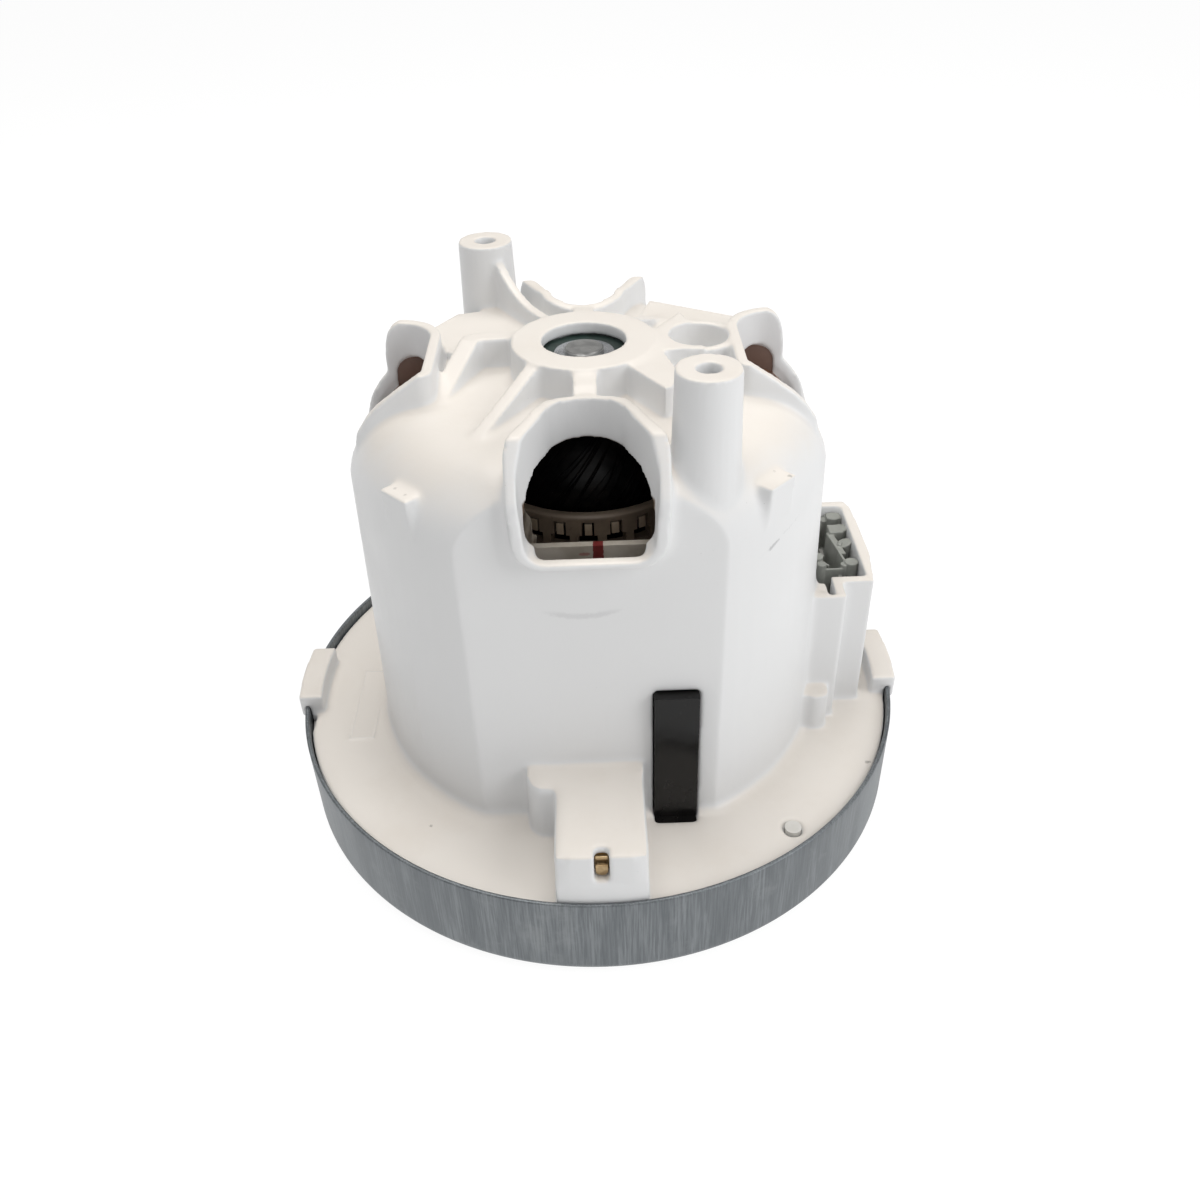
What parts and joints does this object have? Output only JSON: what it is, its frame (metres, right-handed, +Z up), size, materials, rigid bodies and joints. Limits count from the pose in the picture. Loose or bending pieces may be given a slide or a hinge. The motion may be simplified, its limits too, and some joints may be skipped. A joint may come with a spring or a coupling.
{
  "type": "vacuum cleaner motor unit",
  "caption": "Universal motor with a fan in a round steel can: white moulded housing with air windows, two screw posts, brush hoods and a plug shroud.",
  "frame": {"origin": "middle of the fan can's underside, on the shaft axis", "axes": "+Z up along the shaft from the fan to the upper bearing, -Y towards the front brush hood, +X towards the connector shroud"},
  "size_m": [0.1452, 0.143, 0.1184],
  "materials": {
    "housing_plastic": "off-white moulded polymer, slightly glossy",
    "can_steel": "drawn zinc-coated sheet",
    "connector_grey": "grey-green moulded polymer",
    "contact_metal": "tinned strip",
    "black_plastic": "black moulded polymer",
    "brush_tube": "folded sheet brass",
    "spring_wire": "drawn spring wire",
    "carbon": "pressed carbon and graphite",
    "diffuser_plastic": "off-white moulded polymer",
    "bracket_metal": "die cast, as cast",
    "screw_steel": "zinc-plated steel",
    "bearing_steel": "ground bearing steel",
    "seal_rubber": "dark green-black nitrile rubber",
    "cage_plastic": "brown polyamide",
    "lamination": "stacked electrical steel",
    "field_winding": "enamelled copper wire, varnished",
    "insulator": "cream moulded polymer",
    "ring_brown": "khaki-brown moulded polymer",
    "shaft_steel": "ground steel",
    "armature_varnish": "black resin over copper windings",
    "commutator_copper": "turned copper bars",
    "hub_black": "black moulding compound",
    "fan_aluminium": "pressed sheet"
  },
  "bodies": {
    "housing": {"motor_housing": "housing_plastic", "fan_can": "can_steel", "connector_block": "connector_grey", "connector_terminals": "contact_metal", "slot_insert": "black_plastic", "brush_holder_front": "brush_tube", "brush_holder_back": "brush_tube", "brush_spring_front": "spring_wire", "brush_spring_back": "spring_wire", "diffuser": "diffuser_plastic", "bearing_bracket": "bracket_metal", "bracket_screws": "screw_steel", "stator_screws": "screw_steel", "upper_bearing_outer_ring": "bearing_steel", "lower_bearing_outer_ring": "bearing_steel", "upper_bearing_seal": "seal_rubber", "lower_bearing_seal": "seal_rubber", "stator_core": "lamination", "field_coil_left": "field_winding", "field_coil_right": "field_winding", "stator_insulator_top": "insulator", "stator_insulator_bottom": "insulator", "winding_ring": "ring_brown"},
    "rotor": {"shaft": "shaft_steel", "armature_core": "lamination", "armature_winding_top": "armature_varnish", "armature_winding_bottom": "armature_varnish", "commutator_bars": "commutator_copper", "commutator_hub": "hub_black", "upper_bearing_inner_ring": "bearing_steel", "lower_bearing_inner_ring": "bearing_steel", "shaft_spacer": "shaft_steel", "impeller_back_plate": "fan_aluminium", "impeller_blades": "fan_aluminium", "impeller_shroud": "fan_aluminium", "impeller_washer": "shaft_steel", "shaft_nut": "shaft_steel"},
    "upper_bearing_set": {"upper_bearing_balls": "bearing_steel", "upper_bearing_cage": "cage_plastic"},
    "lower_bearing_set": {"lower_bearing_balls": "bearing_steel", "lower_bearing_cage": "cage_plastic"},
    "brush_front": {"carbon_brush_front": "carbon"},
    "brush_back": {"carbon_brush_back": "carbon"}
  },
  "joints": [
    {"name": "rotor_spin", "type": "hinge", "parent": "housing", "child": "rotor", "pos_m": [0, 0, 0], "axis": [0, 0, 1], "continuous": true},
    {"name": "upper_bearing_roll", "type": "hinge", "parent": "housing", "child": "upper_bearing_set", "pos_m": [0, 0, 0], "axis": [0, 0, 1], "continuous": true},
    {"name": "lower_bearing_roll", "type": "hinge", "parent": "housing", "child": "lower_bearing_set", "pos_m": [0, 0, 0], "axis": [0, 0, 1], "continuous": true},
    {"name": "brush_front_slide", "type": "slide", "parent": "housing", "child": "brush_front", "axis": [0, -1, 0], "range_m": [0, 0.008], "stiffness_N_per_m": 90, "springref_m": -0.03, "deforming": ["brush_spring_front"]},
    {"name": "brush_back_slide", "type": "slide", "parent": "housing", "child": "brush_back", "axis": [0, 1, 0], "range_m": [0, 0.008], "stiffness_N_per_m": 90, "springref_m": -0.03, "deforming": ["brush_spring_back"]}
  ],
  "couplings": [
    {"joint": "upper_bearing_roll", "follows": "rotor_spin", "ratio": 0.3677},
    {"joint": "lower_bearing_roll", "follows": "rotor_spin", "ratio": 0.3677}
  ]
}
